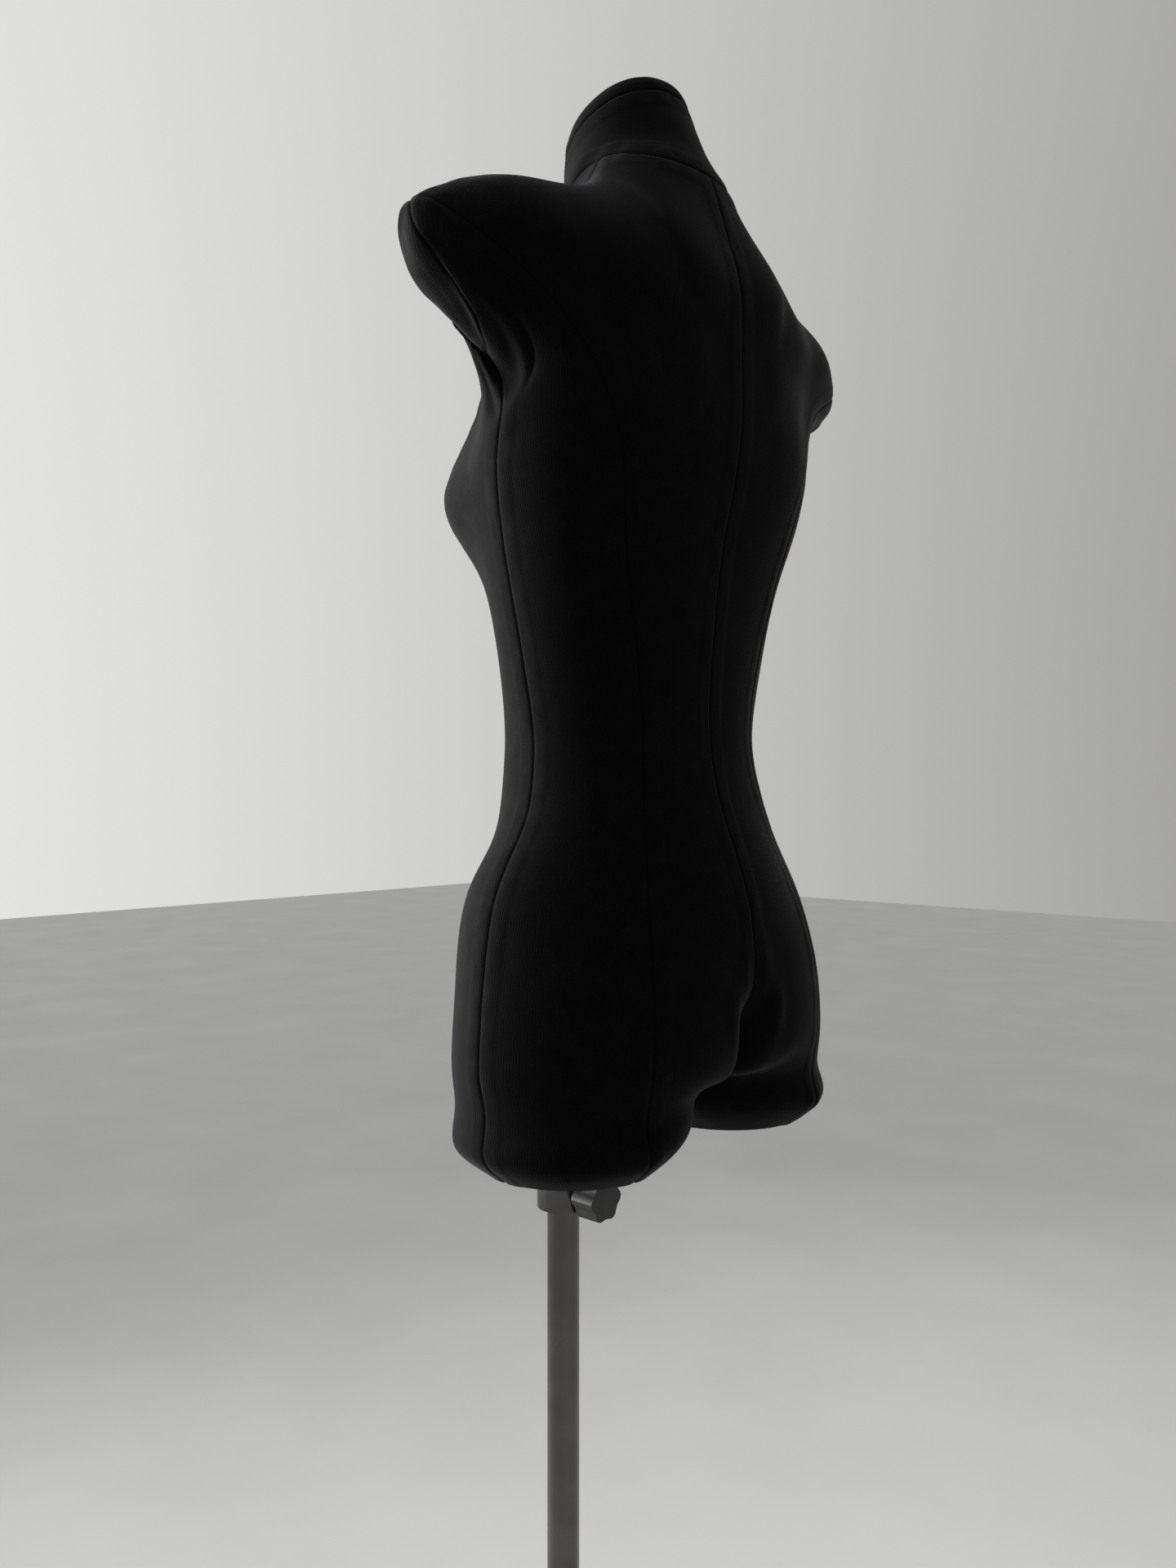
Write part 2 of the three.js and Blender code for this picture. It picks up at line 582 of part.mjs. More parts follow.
// Each thigh is closed by a board glued into the shell, over a cloth disc; the socket passes
// through the left ones.
function makeThighEnds() {
  const angles = Object.values(hemArcs).flatMap((arc) => arc.slice(0, -1));
  const scale = (HEM.r - CLEARANCE) / HEM.r;
  const outline = angles.map(([x, y]) => [HEM.x + (x - HEM.x) * scale, HEM.y + (y - HEM.y) * scale]);
  for (const [side, flip] of [['left', 1], ['right', -1]]) {
    const disc = (low, high) => loft(...[low, high].map((z) => {
      const points = outline.map(([x, y]) => [flip * x, y, z]);
      return flip > 0 ? points.reverse() : points;
    }));
    let cover = disc(0, COVER);
    let board = disc(shellDepth, shellDepth + BOARD);
    if (side === 'left') {
      const through = [-1, shellDepth + BOARD + 1];
      const holes = [rod(SOCKET.radius + CLEARANCE, ...through), ...screwHoles(...through)]
        .map(atPole);
      cover = cut(cover, ...holes);
      board = cut(board, ...holes);
    }
    dressForm.add(node(`thigh_cover_${side}`, cover, JERSEY));
    dressForm.add(node(`thigh_board_${side}`, board, PLYWOOD));
  }
}

// ---------- clamps ----------
// Parts along +Y from the tube they press on: a pad, then a threaded stud in a lobed knob.

const bore = UPPER_TUBE.radius + RUNNING;
const towardsBack = (geometry) => geometry.rotateX(-Math.PI / 2);
const clampHole = (z) =>
  towardsBack(rod(CLAMP.radius + CLEARANCE, UPPER_TUBE.radius / 2, COLLAR.radius + 1, 24))
    .translate(0, 0, z);

function clampParts(prefix, hubRadius, z) {
  const padFace = bore + CLEARANCE;
  const studStart = padFace + CLAMP.pad + CLEARANCE;
  const knobStart = hubRadius + CLAMP.gap;
  const studEnd = knobStart + CLAMP.grip;
  const outline = around(CLAMP.lobes * 6).map((angle) => {
    const reach = CLAMP.knob - 1.2 * (1 - Math.cos(CLAMP.lobes * angle));
    return new THREE.Vector2(reach * Math.cos(angle), reach * Math.sin(angle));
  });
  const handle = new THREE.ExtrudeGeometry(new THREE.Shape(outline), {
    depth: CLAMP.knobLength, bevelEnabled: false,
  }).translate(0, 0, knobStart);
  const socket = rod(CLAMP.radius + CLEARANCE, knobStart - 1, studEnd + CLEARANCE, 24);
  const pieces = [
    ['pad', rod(CLAMP.radius, padFace, padFace + CLAMP.pad, 24), NYLON],
    ['screw', rod(CLAMP.radius, studStart, studEnd, 24), ZINC],
    ['knob', cut(handle, socket), KNOB],
  ];
  return pieces.map(([name, geometry, material]) =>
    node(`${prefix}_${name}`, towardsBack(geometry).translate(0, 0, z), material));
}

// ---------- stand ----------

const baseBottom = FOOT.thick + CLEARANCE;
const baseTop = baseBottom + BASE.thick;
const bossBottom = baseTop + CLEARANCE;
const bossTop = bossBottom + BOSS.height;
const lowerTubeBottom = bossTop + CLEARANCE;
const lowerTubeTop = lowerTubeBottom + LOWER_TUBE.length;
const collarTop = lowerTubeTop + CLEARANCE + COLLAR.head;
const socketTop = THIGH_HEIGHT + SOCKET.depth;
const plugTop = socketTop - SOCKET.end - CLEARANCE;
const upperTubeTop = plugTop - PLUG.lip - CLEARANCE;
const upperTubeBottom = lowerTubeTop - UPPER_TUBE.overlap;

const stand = new THREE.Group();

function makeBase() {
  const { radius, thick, edge } = BASE;
  const hole = BASE_SCREW.radius + CLEARANCE;
  const sink = BASE_SCREW.head + CLEARANCE;
  const plate = turned([[sink, 0], [radius - 1, 0], [radius, 1], [radius, thick - edge],
    [radius - edge / 3, thick - edge / 3], [radius - edge, thick], [hole, thick],
    [hole, BASE_SCREW.headHeight]], 48).translate(0, 0, baseBottom);
  stand.add(node('base_plate', plate, STAINLESS));

  around(FOOT.count).forEach((angle, i) => {
    const foot = rod(FOOT.radius, 0, FOOT.thick, 24).rotateZ(angle);
    foot.translate(FOOT.ring * Math.cos(angle + Math.PI / 4), FOOT.ring * Math.sin(angle + Math.PI / 4), 0);
    stand.add(node(`foot_pad_${i + 1}`, foot, RUBBER));
  });

  const spigot = LOWER_TUBE.radius - LOWER_TUBE.wall - CLEARANCE;
  const drilled = BASE_SCREW.length + CLEARANCE - (bossBottom - baseBottom);
  const boss = turned([[0, drilled], [BASE_SCREW.radius + CLEARANCE, drilled],
    [BASE_SCREW.radius + CLEARANCE, 0], [BOSS.radius, 0], [BOSS.radius, BOSS.height - BOSS.chamfer],
    [BOSS.radius - BOSS.chamfer, BOSS.height], [spigot, BOSS.height],
    [spigot, BOSS.height + BOSS.spigot], [0, BOSS.height + BOSS.spigot]], 40);
  stand.add(node('base_boss', boss.translate(0, 0, bossBottom), STAINLESS));

  const screw = turned([[0, 0], [BASE_SCREW.head, 0],
    [BASE_SCREW.radius, BASE_SCREW.headHeight - CLEARANCE],
    [BASE_SCREW.radius, BASE_SCREW.length], [0, BASE_SCREW.length]], 24);
  stand.add(node('base_screw', screw.translate(0, 0, baseBottom), ZINC));
}

function makePole() {
  const { radius, wall } = LOWER_TUBE;
  stand.add(node('lower_tube', tube(radius, radius - wall, lowerTubeBottom, lowerTubeTop), STAINLESS));

  const seatBore = radius + CLEARANCE;
  const seatBottom = lowerTubeTop - COLLAR.seat;
  const collar = turned([[seatBore, seatBottom], [COLLAR.radius - 1, seatBottom],
    [COLLAR.radius, seatBottom + 1], [COLLAR.radius, collarTop - 1], [COLLAR.radius - 1, collarTop],
    [bore, collarTop], [bore, lowerTubeTop + CLEARANCE], [seatBore, lowerTubeTop + CLEARANCE]], 40);
  const clampAt = collarTop - COLLAR.head / 2;
  stand.add(node('height_collar', cut(collar, clampHole(clampAt)), STAINLESS));
  stand.add(...clampParts('height_clamp', COLLAR.radius, clampAt));

  const upper = UPPER_TUBE.radius;
  const inner = upper - UPPER_TUBE.wall;
  stand.add(node('upper_tube', tube(upper, inner, upperTubeBottom, upperTubeTop), STAINLESS));
  const fit = inner - CLEARANCE;
  const top = turned([[0, -PLUG.depth], [fit, -PLUG.depth], [fit, 0], [upper, 0],
    [upper, PLUG.lip], [0, PLUG.lip]], 24).translate(0, 0, upperTubeTop + CLEARANCE);
  stand.add(node('pole_top_plug', top, NYLON));
  const slide = radius - wall - RUNNING;
  const glide = turned([[0, -PLUG.lip], [slide, -PLUG.lip], [slide, 0], [fit, 0],
    [fit, PLUG.depth], [0, PLUG.depth]], 32).translate(0, 0, upperTubeBottom - CLEARANCE);
  stand.add(node('pole_bottom_glide', glide, NYLON));
}

// The fitting in the left thigh: a closed tube on a flange, with a nut below for the clamp.
function makeSocket() {
  const { radius, depth, end, nut, nutHeight, drop } = SOCKET;
  const flangeTop = -CLEARANCE;
  const flangeBottom = flangeTop - FLANGE.thick;
  const nutTop = nutHeight - drop;
  const body = turned([[0, depth - end], [bore, depth - end], [bore, -drop], [nut, -drop],
    [nut, nutTop], [radius, nutTop], [radius, flangeBottom], [FLANGE.radius, flangeBottom],
    [FLANGE.radius, flangeTop], [radius, flangeTop], [radius, depth], [0, depth]], 40);
  const clampAt = nutTop - nutHeight / 2;
  const fitting = cut(body, clampHole(clampAt), ...screwHoles(flangeBottom - 1, 1));
  dressForm.add(node('thigh_socket', atPole(fitting), ZINC));

  const clamp = clampParts('socket_clamp', nut, clampAt);
  clamp.forEach((mesh) => mesh.position.set(POLE_AT.x, POLE_AT.y, 0));
  dressForm.add(...clamp);

  const { radius: shank, head, headHeight, length } = WOOD_SCREW;
  flangeHoles.forEach(([x, y], i) => {
    const screw = turned([[0, -headHeight], [head * 0.6, -headHeight], [head, 0], [shank, 0],
      [shank, length], [0, length]], 16).translate(x, y, flangeBottom - CLEARANCE);
    dressForm.add(node(`socket_screw_${i + 1}`, atPole(screw), ZINC));
  });
}

makeBase();
makePole();
makeShells();
makeTorsoCovers();
makeNeck();
makeArmCaps();
makeThighEnds();
makeSocket();

const object = new THREE.Group();
object.add(stand, dressForm);
const middle = new THREE.Box3().setFromObject(object).getCenter(new THREE.Vector3());
object.position.set(-middle.x, -middle.y, 0);
export default object;
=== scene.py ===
import math

import bmesh
import bpy
import numpy as np
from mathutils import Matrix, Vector
from mathutils.bvhtree import BVHTree
from mathutils.kdtree import KDTree


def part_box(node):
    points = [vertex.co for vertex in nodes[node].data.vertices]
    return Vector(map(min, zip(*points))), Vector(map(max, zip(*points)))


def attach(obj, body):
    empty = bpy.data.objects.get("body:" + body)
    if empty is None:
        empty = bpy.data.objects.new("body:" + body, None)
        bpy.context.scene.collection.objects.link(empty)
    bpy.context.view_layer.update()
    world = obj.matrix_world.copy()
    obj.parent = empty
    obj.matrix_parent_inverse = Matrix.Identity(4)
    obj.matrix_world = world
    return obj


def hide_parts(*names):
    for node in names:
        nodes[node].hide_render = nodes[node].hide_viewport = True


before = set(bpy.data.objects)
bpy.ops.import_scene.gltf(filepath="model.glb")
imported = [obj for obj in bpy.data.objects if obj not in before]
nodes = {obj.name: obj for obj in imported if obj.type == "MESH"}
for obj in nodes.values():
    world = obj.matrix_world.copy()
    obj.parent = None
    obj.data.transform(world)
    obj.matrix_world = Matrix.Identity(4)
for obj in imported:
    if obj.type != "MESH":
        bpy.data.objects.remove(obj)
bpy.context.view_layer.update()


# ---------------------------------------------------------------------------
# Where it stands and who looks at it.
# The dress form turns its back and left side to a viewer at waist height, in
# a pale room with soft daylight from the viewer's left.
# ---------------------------------------------------------------------------
def middle(node, axis):
    low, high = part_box(node)
    return (low[axis] + high[axis]) / 2


POLE_X = middle("lower_tube", 0)
FORM_X = middle("neck_cap_cover", 0)
HEM_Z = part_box("back_cover_left")[0][2]
TOP_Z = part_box("neck_cap_cover")[1][2]

VIEW_TURN = math.radians(132.0)
VIEW_PITCH = math.radians(0.416)
VIEW_DISTANCE = 0.8692
VIEW_SHIFT = 0.038
VIEW_HEIGHT = 0.2481
LENS_MM = 27.04
FILM_MM = 36
back = Vector((math.sin(VIEW_TURN), -math.cos(VIEW_TURN), 0))
right = Vector((-back.y, back.x, 0))

lens = bpy.data.cameras.new("view")
lens.lens = LENS_MM
lens.sensor_width = FILM_MM
camera = bpy.data.objects.new("view", lens)
bpy.context.collection.objects.link(camera)
camera.location = Vector((FORM_X, 0, HEM_Z + VIEW_HEIGHT)) + back * VIEW_DISTANCE - right * VIEW_SHIFT
gaze = -back * math.cos(VIEW_PITCH) + Vector((0, 0, math.sin(VIEW_PITCH)))
camera.rotation_euler = gaze.to_track_quat("-Z", "Y").to_euler()
bpy.context.scene.camera = camera
bpy.context.scene.view_settings.view_transform = "Standard"


# each lamp: metres to the viewer's right, towards the viewer and up; watts; size; spread
LAMPS = {
    "window": ((-1.9, -0.5, 0.25), 31, (1.5, 1.8), 90),
    "room_fill": ((1.2, 2.4, 1.2), 3, (2.2, 2.2), 120),
    "front_fill": ((0.9, -2.3, 0.5), 6, (1.6, 1.8), 120),
}
chest = Vector((FORM_X, 0, (HEM_Z + TOP_Z) / 2))
for name, (place, watts, size, spread) in LAMPS.items():
    light = bpy.data.lights.new(name, "AREA")
    light.energy = watts
    light.shape = "RECTANGLE"
    light.size = size[0]
    light.size_y = size[1]
    light.spread = math.radians(spread)
    stand_off = right * place[0] + back * place[1] + Vector((0, 0, place[2]))
    thing = bpy.data.objects.new(name, light)
    thing.location = chest + stand_off
    thing.rotation_euler = (-stand_off).to_track_quat("-Z", "Y").to_euler()
    bpy.context.collection.objects.link(thing)

WINDOW_SIDE = (0.88, 0.88, 0.87, 1)
FAR_SIDE = (0.24, 0.235, 0.23, 1)
DARK_AT = -0.8
BRIGHT_AT = 0.6
ROOM_STRENGTH = 0.95
room = bpy.data.worlds.new("room")
room.use_nodes = True
sky = room.node_tree
toward = sky.nodes.new("ShaderNodeVectorMath")
toward.operation = "DOT_PRODUCT"
toward.inputs[1].default_value = -right
sky.links.new(sky.nodes.new("ShaderNodeTexCoord").outputs["Generated"], toward.inputs[0])
spread_out = sky.nodes.new("ShaderNodeMapRange")
spread_out.inputs["From Min"].default_value = DARK_AT
spread_out.inputs["From Max"].default_value = BRIGHT_AT
sky.links.new(toward.outputs["Value"], spread_out.inputs["Value"])
wash = sky.nodes.new("ShaderNodeValToRGB")
wash.color_ramp.elements[0].color = FAR_SIDE
wash.color_ramp.elements[1].color = WINDOW_SIDE
sky.links.new(spread_out.outputs["Result"], wash.inputs["Fac"])
sky.links.new(wash.outputs["Color"], sky.nodes["Background"].inputs["Color"])
sky.nodes["Background"].inputs["Strength"].default_value = ROOM_STRENGTH
bpy.context.scene.world = room

FLOOR_REACH = 9.0
floor_mesh = bpy.data.meshes.new("floor")
quarter = ((-1, -1), (1, -1), (1, 1), (-1, 1))
floor_mesh.from_pydata([(x * FLOOR_REACH, y * FLOOR_REACH, 0) for x, y in quarter], [], [(0, 1, 2, 3)])
floor = bpy.data.objects.new("floor", floor_mesh)
bpy.context.collection.objects.link(floor)


class Recipe:
    """A node material built step by step."""

    def __init__(self, name, color, rough, **sockets):
        self.mat = bpy.data.materials.new(name)
        self.mat.use_nodes = True
        self.tree = self.mat.node_tree
        self.shader = self.tree.nodes["Principled BSDF"]
        self.shader.inputs["Base Color"].default_value = (*color, 1)
        self.shader.inputs["Roughness"].default_value = rough
        for socket, value in sockets.items():
            self.shader.inputs[socket.replace("_", " ")].default_value = value
        self.where = self.tree.nodes.new("ShaderNodeTexCoord").outputs["Object"]

    def link(self, a, b):
        self.tree.links.new(a, b)

    def stretched(self, scale):
        node = self.tree.nodes.new("ShaderNodeMapping")
        node.inputs["Scale"].default_value = scale
        self.link(self.where, node.inputs["Vector"])
        return node.outputs["Vector"]

    def noise(self, scale, detail=3.0, source=None):
        node = self.tree.nodes.new("ShaderNodeTexNoise")
        node.inputs["Scale"].default_value = scale
        node.inputs["Detail"].default_value = detail
        self.link(source or self.where, node.inputs["Vector"])
        return node.outputs["Fac"]

    def waves(self, scale, direction, source, distortion):
        node = self.tree.nodes.new("ShaderNodeTexWave")
        node.bands_direction = direction
        node.inputs["Scale"].default_value = scale
        node.inputs["Distortion"].default_value = distortion
        self.link(source, node.inputs["Vector"])
        return node.outputs["Fac"]

    def ramp(self, factor, *stops):
        node = self.tree.nodes.new("ShaderNodeValToRGB")
        for element, (position, color) in zip(node.color_ramp.elements, stops):
            element.position = position
            element.color = (*color, 1)
        self.link(factor, node.inputs["Fac"])
        return node.outputs["Color"]

    def mix(self, factor, a, b):
        node = self.tree.nodes.new("ShaderNodeMix")
        node.data_type = "RGBA"
        for value, socket in ((factor, node.inputs[0]), (a, node.inputs[6]), (b, node.inputs[7])):
            if isinstance(value, (int, float)):
                socket.default_value = value
            elif isinstance(value, tuple):
                socket.default_value = (*value, 1)
            else:
                self.link(value, socket)
        return node.outputs[2]

    def color(self, value):
        self.link(value, self.shader.inputs["Base Color"])

    def rough(self, factor, low, high):
        node = self.tree.nodes.new("ShaderNodeMapRange")
        node.inputs["To Min"].default_value = low
        node.inputs["To Max"].default_value = high
        self.link(factor, node.inputs["Value"])
        self.link(node.outputs["Result"], self.shader.inputs["Roughness"])

    def bump(self, height, distance, strength):
        node = self.tree.nodes.new("ShaderNodeBump")
        node.inputs["Distance"].default_value = distance
        node.inputs["Strength"].default_value = strength
        self.link(height, node.inputs["Height"])
        normal = self.shader.inputs["Normal"]
        if normal.is_linked:
            self.link(normal.links[0].from_socket, node.inputs["Normal"])
        self.link(node.outputs["Normal"], normal)


plaster = Recipe("pale_floor", (0.58, 0.58, 0.57), 0.7)
plaster.color(plaster.ramp(plaster.noise(3), (0.3, (0.56, 0.56, 0.55)), (0.7, (0.60, 0.60, 0.59))))
floor.data.materials.append(plaster.mat)


# ---------------------------------------------------------------------------
# The jersey cover: panels of fine black knit, sewn edge to edge and pulled
# tight over thin padding.  Each seam draws the cloth in to a fine valley, with
# small puckers beside it, and its turned-in edges show as a faint ridge.
# ---------------------------------------------------------------------------
panels = ["back_cover_left", "back_cover_right", "side_back_cover_left", "side_back_cover_right"]
panels += ["side_front_cover_left", "side_front_cover_right", "front_cover_left", "front_cover_right"]
panels += ["neck_cover", "neck_cap_cover", "arm_cap_cover_left", "arm_cap_cover_right"]
SAME_POINT = 0.00001
CLOTH_THINNEST = 0.0019
CLOTH_THICKEST = 0.0035
PANEL_GAP = 0.0016
FOLD_GAP = 0.006
HEM_CLEAR = 0.004
heart = Vector((FORM_X, 0, chest.z))


def islands(bm):
    found = []
    seen = set()
    for face in bm.faces:
        if face in seen:
            continue
        seen.add(face)
        waiting = [face]
        group = []
        while waiting:
            here = waiting.pop()
            group.append(here)
            for edge in here.edges:
                for other in edge.link_faces:
                    if other not in seen:
                        seen.add(other)
                        waiting.append(other)
        found.append(group)
    return found


def third(face, edge):
    return next(v for v in face.verts if v not in edge.verts)


def squareness(edge):
    a, b = edge.link_faces
    corners = [edge.verts[0].co, third(a, edge).co, edge.verts[1].co, third(b, edge).co]
    worst = 0
    for i in range(4):
        one = (corners[i - 1] - corners[i]).normalized()
        two = (corners[(i + 1) % 4] - corners[i]).normalized()
        worst = max(worst, abs(one.dot(two)))
    return worst


def diagonals(bm):
    """The edges that split the squares of a woven sheet: they all run one way."""
    inner = [e for e in bm.edges if len(e.link_faces) == 2]
    seed = min(inner, key=squareness)
    split = {seed.link_faces[0]: seed, seed.link_faces[1]: seed}
    waiting = list(split)
    while waiting:
        face = waiting.pop(0)
        for edge in face.edges:
            if edge is split[face] or len(edge.link_faces) < 2:
                continue
            other = next(f for f in edge.link_faces if f is not face)
            if other in split:
                continue
            far = next(v for v in edge.verts if v not in split[face].verts)
            cross = next(e for e in other.edges if e is not edge and far in e.verts)
            if len(cross.link_faces) < 2:
                continue
            partner = next(f for f in cross.link_faces if f is not other)
            if partner in split:
                continue
            split[other] = cross
            split[partner] = cross
            waiting += [other, partner]
    return list(set(split.values()))


def outside(name):
    bm = bmesh.new()
    bm.from_mesh(nodes[name].data)
    bmesh.ops.remove_doubles(bm, verts=bm.verts, dist=SAME_POINT)
    wall = {e for e in bm.edges if CLOTH_THINNEST < e.calc_length() < CLOTH_THICKEST}
    bmesh.ops.delete(bm, geom=[f for f in bm.faces if any(e in wall for e in f.edges)], context="FACES")
    groups = islands(bm)

    def outward(group):
        return sum(f.normal.dot(f.calc_center_median() - heart) * f.calc_area() for f in group)

    keep = set(max(groups, key=outward))
    bmesh.ops.delete(bm, geom=[f for f in bm.faces if f not in keep], context="FACES")
    if "neck" in name:
        bmesh.ops.join_triangles(
            bm, faces=bm.faces, angle_face_threshold=math.pi, angle_shape_threshold=math.pi
        )
    else:
        bmesh.ops.dissolve_edges(bm, edges=diagonals(bm), use_verts=False)
    return bm


cover = bmesh.new()
for index, name in enumerate(panels):
    part = outside(name)
    copies = {v: cover.verts.new(v.co) for v in part.verts}
    for face in part.faces:
        made = cover.faces.new([copies[v] for v in face.verts])
        made.material_index = index
        made.smooth = True
    part.free()
border = [v for v in cover.verts if v.is_boundary]
bmesh.ops.remove_doubles(cover, verts=border, dist=PANEL_GAP)
loose = [v for v in cover.verts if v.is_boundary and v.co.z > HEM_Z + HEM_CLEAR]
bmesh.ops.remove_doubles(cover, verts=loose, dist=FOLD_GAP)
cage_mesh = bpy.data.meshes.new("cage")
cover.to_mesh(cage_mesh)
cover.free()
cage = bpy.data.objects.new("cage", cage_mesh)
bpy.context.collection.objects.link(cage)
round_off = cage.modifiers.new("round", "SUBSURF")
round_off.boundary_smooth = "PRESERVE_CORNERS"


def places(mesh):
    flat = np.empty(len(mesh.vertices) * 3)
    mesh.vertices.foreach_get("co", flat)
    return flat.reshape(-1, 3)


def outward_at(mesh):
    flat = np.empty(len(mesh.vertices) * 3)
    mesh.vertex_normals.foreach_get("vector", flat)
    return flat.reshape(-1, 3)


def evaluated(level):
    round_off.levels = level
    round_off.render_levels = level
    graph = bpy.context.evaluated_depsgraph_get()
    return bpy.data.meshes.new_from_object(cage.evaluated_get(graph))


target = places(cage_mesh)
hold = target.copy()
FIT_ROUNDS = 4
FIT_SHARE = 0.8
for _ in range(FIT_ROUNDS):
    reached = evaluated(1)
    hold += FIT_SHARE * (target - places(reached)[: len(target)])
    bpy.data.meshes.remove(reached)
    cage_mesh.vertices.foreach_set("co", hold.ravel())
    cage_mesh.update()
SKIN_LEVEL = 4
skin = evaluated(SKIN_LEVEL)
bpy.data.objects.remove(cage)

points = places(skin)
normals = outward_at(skin)
faces = [tuple(p.vertices) for p in skin.polygons]
owner = np.empty(len(faces), dtype=int)
skin.polygons.foreach_get("material_index", owner)

seam_edges = {}
for face, panel in zip(faces, owner):
    for i, v in enumerate(face):
        key = tuple(sorted((face[i - 1], v)))
        seam_edges.setdefault(key, []).append(panel)
hems = [key for key, sides in seam_edges.items() if len(sides) == 1]
seam_edges = [key for key, sides in seam_edges.items() if len(sides) == 2 and sides[0] != sides[1]]
meeting = {}
for key in seam_edges:
    for v in key:
        meeting.setdefault(v, []).append(key)
seam_points = sorted(meeting)
near_seam = KDTree(len(seam_points))
for v in seam_points:
    near_seam.insert(points[v], v)
near_seam.balance()

nearest = points.copy()
FAR_AWAY = 1.0
SEAM_REACH = 0.030
away = np.full(len(points), FAR_AWAY)
for i, point in enumerate(points):
    _, v, gap = near_seam.find(point)
    if gap > SEAM_REACH:
        continue
    for a, b in meeting[v]:
        start = points[a]
        run = points[b] - start
        share = min(1, max(0, (point - start).dot(run) / max(run.dot(run), 1e-12)))
        foot = start + share * run
        distance = math.dist(point, foot)
        if distance < away[i]:
            away[i] = distance
            nearest[i] = foot


RIPPLE_WAVES = 6


def ripple(p, pitch, seed):
    """Smooth unevenness between -1 and 1 with bumps about a pitch apart."""
    rng = np.random.default_rng(seed)
    total = np.zeros(len(p))
    for _ in range(RIPPLE_WAVES):
        way = rng.normal(size=3)
        way /= np.linalg.norm(way)
        total += np.sin(p @ way * (2 * math.pi / pitch) * rng.uniform(0.6, 1.5) + rng.uniform(0, 6.28))
    return total / RIPPLE_WAVES


DRAW_REACH = 0.007
DRAW_IN = 0.6
pull = np.clip(1 - away / DRAW_REACH, 0, 1)
shift = (points - nearest) * (-DRAW_IN * pull ** 2)[:, None]
points = points + shift * (away < DRAW_REACH)[:, None]
away = away * (1 - DRAW_IN * pull ** 2)

VALLEY_DEPTH = 0.0009
VALLEY_WIDTH = 0.0010
PUFF_HEIGHT = 0.0002
PUFF_PLACE = 0.0065
PUCKER_HEIGHT = 0.0006
PUCKER_PITCH = 0.017
PUCKER_REACH = 0.011
ALLOWANCE = 0.013
ALLOWANCE_HEIGHT = 0.00028
ALLOWANCE_EDGE = 0.0007
UNEVEN_HEIGHT = 0.0006
UNEVEN_PITCH = 0.085

lift = -VALLEY_DEPTH * np.exp(-((away / VALLEY_WIDTH) ** 2))
lift += PUFF_HEIGHT * np.exp(-(((away - PUFF_PLACE) / PUFF_PLACE) ** 2))
beside = np.exp(-((away - PUCKER_REACH / 2) / (PUCKER_REACH / 2)) ** 2)
lift += PUCKER_HEIGHT * beside * ripple(nearest, PUCKER_PITCH, 3) * (away < SEAM_REACH)
turned = 1 / (1 + np.exp((away - ALLOWANCE) / ALLOWANCE_EDGE))
lift += ALLOWANCE_HEIGHT * (turned - 1) * (away < SEAM_REACH)
lift -= ALLOWANCE_HEIGHT * (away >= SEAM_REACH)
lift += ALLOWANCE_HEIGHT
lift += UNEVEN_HEIGHT * ripple(points, UNEVEN_PITCH, 8)
points = points + normals * lift[:, None]

skin.vertices.foreach_set("co", points.ravel())
skin.update()
normals = outward_at(skin)
CLOTH_THICK = 0.0020
SEAM_SHADE_WIDTH = 0.0008
inner = points - normals * CLOTH_THICK
# Painted shade: a narrow band of darker colour along the bottom of every seam valley, passed to the
# shader as a point attribute.
seam_crease_shade = np.exp(-((away / SEAM_SHADE_WIDTH) ** 2))

jersey = Recipe("jersey", (0.0010, 0.0010, 0.0011), 0.9)
jersey.shader.inputs["Specular IOR Level"].default_value = 0.06
jersey.shader.inputs["Sheen Weight"].default_value = 0.07
jersey.shader.inputs["Sheen Roughness"].default_value = 0.35
jersey.shader.inputs["Sheen Tint"].default_value = (0.9, 0.92, 1.0, 1)
cloth_map = jersey.tree.nodes.new("ShaderNodeUVMap").outputs["UV"]
seam_shade = jersey.tree.nodes.new("ShaderNodeAttribute")
seam_shade.attribute_name = "seam_crease_shade"
mottle = jersey.mix(0.5, jersey.noise(420, 2), jersey.noise(60, 4))
tone = jersey.ramp(mottle, (0.35, (0.0004, 0.0004, 0.0005)), (0.65, (0.0016, 0.0016, 0.0018)))
# The base colour is darkened towards near-black where the painted seam shade is set.
jersey.color(jersey.mix(seam_shade.outputs["Fac"], tone, (0.0003, 0.0003, 0.0003)))
jersey.rough(jersey.noise(90, 3), 0.78, 0.95)
wales = jersey.waves(190, "X", cloth_map, 1.5)
courses = jersey.waves(230, "Y", cloth_map, 1.5)
jersey.bump(jersey.mix(0.5, wales, courses), 0.00025, 0.5)
jersey.bump(jersey.noise(26, 5), 0.0012, 0.35)


CLOTH_FOLD = math.radians(50)


def cloth_piece(name, corners, rings, shade, lengthwise):
    """One closed piece of cloth with its own map, and painted shade where it is sewn."""
    mesh = bpy.data.meshes.new(name)
    mesh.from_pydata(corners, [], rings)
    mesh.validate()
    layer = mesh.uv_layers.new(name="cloth")
    flat = np.empty(len(mesh.loops), dtype=int)
    mesh.loops.foreach_get("vertex_index", flat)
    layer.data.foreach_set("uv", lengthwise[flat].ravel())
    line = mesh.attributes.new("seam_crease_shade", "FLOAT", "POINT")
    line.data.foreach_set("value", shade)
    mesh.polygons.foreach_set("use_smooth", [True] * len(mesh.polygons))
    mesh.set_sharp_from_angle(angle=CLOTH_FOLD)
    mesh.materials.append(jersey.mat)
    piece = bpy.data.objects.new(name, mesh)
    bpy.context.collection.objects.link(piece)
    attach(piece, "form")
    return piece


MEAN_RADIUS = 0.13
NECK_SPAN = 0.06


